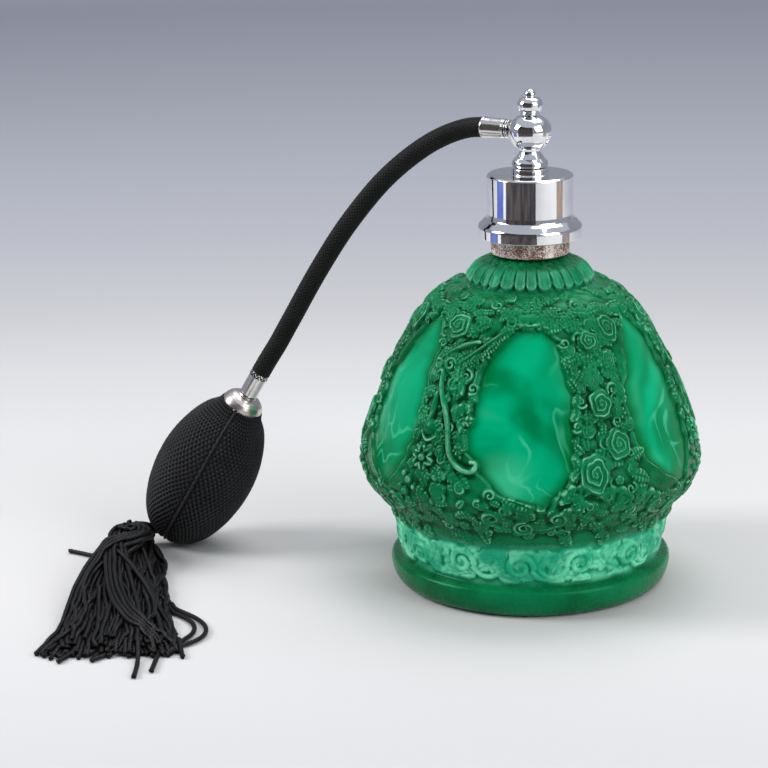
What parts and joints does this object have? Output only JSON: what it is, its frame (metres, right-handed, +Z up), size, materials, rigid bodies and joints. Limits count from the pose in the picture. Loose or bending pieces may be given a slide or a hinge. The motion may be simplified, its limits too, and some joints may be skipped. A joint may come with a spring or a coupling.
{
  "type": "perfume atomiser",
  "caption": "Squeeze-bulb perfume atomiser: relief-moulded glass bottle, screw collar, ball spray head with finial, braided hose, knitted bulb and tassel.",
  "frame": {"origin": "centre of the bottle's flat underside, on the surface that the bottle, the bulb and the tassel rest on", "axes": "+Z up along the bottle's axis, +X the way the spray leaves, -X the side the hose leaves the head"},
  "size_m": [0.1878, 0.1887, 0.1585],
  "materials": {
    "green_glass": "marbled opaque pressed glass, satin relief and fire-polished panels",
    "plaster": "matt cement",
    "worn_plating": "worn and pitted plating",
    "chrome": "mirror chrome",
    "nickel": "satin nickel",
    "brass": "turned, unplated",
    "steel": "polished",
    "cork": "pressed cork",
    "rubber": "matt",
    "black_braid": "fine braided cotton",
    "black_knit": "knitted stretch net",
    "black_rayon": "twisted rayon cord, lightly shiny"
  },
  "bodies": {
    "bottle": {"glass_bottle": "green_glass", "neck_cement": "plaster", "neck_ring": "worn_plating"},
    "head": {"head_body": "chrome", "finial": "chrome", "spray_nozzle": "chrome", "air_jet": "brass", "hose_nipple": "nickel", "nipple_washer": "nickel", "stem_flange": "brass", "swivel_washer": "cork", "neck_gasket": "cork", "dip_tube_socket": "brass", "dip_tube": "steel"},
    "collar": {"collar_shell": "chrome", "collar_thread_insert": "brass"},
    "bulb": {"upper_ferrule": "nickel", "braided_hose": "black_braid", "lower_ferrule": "nickel", "bulb_collar": "nickel", "outlet_valve_body": "brass", "intake_valve_body": "brass", "bulb_fixed_half": "rubber", "bulb_net": "black_knit", "tassel_binding": "black_rayon", "tassel_skirt": "black_rayon"},
    "bulb_wall": {"bulb_pressed_half": "rubber"},
    "outlet_ball": {"outlet_valve_ball": "steel"},
    "intake_ball": {"intake_valve_ball": "steel"}
  },
  "joints": [
    {"name": "atomiser_lift", "type": "slide", "parent": "bottle", "child": "head", "axis": [0, 0, 1], "range_m": [0, 0.11]},
    {"name": "collar_turn", "type": "hinge", "parent": "head", "child": "collar", "pos_m": [0, 0, 0.122], "axis": [0, 0, 1], "range_deg": [0, 540]},
    {"name": "hose_swivel", "type": "hinge", "parent": "head", "child": "bulb", "pos_m": [-0.0122, 0, 0.1455], "axis": [-1, 0, 0], "range_deg": [0, 90]},
    {"name": "bulb_squeeze", "type": "slide", "parent": "bulb", "child": "bulb_wall", "axis": [-0.1908, 0.9816, 0], "range_m": [0, 0.008], "stiffness_N_per_m": 1200, "deforming": ["bulb_net"]},
    {"name": "outlet_ball_lift", "type": "slide", "parent": "bulb", "child": "outlet_ball", "axis": [0.4982, 0.0968, 0.8616], "range_m": [0, 0.0015]},
    {"name": "intake_ball_lift", "type": "slide", "parent": "bulb", "child": "intake_ball", "axis": [0.4982, 0.0968, 0.8616], "range_m": [0, 0.0015]}
  ]
}
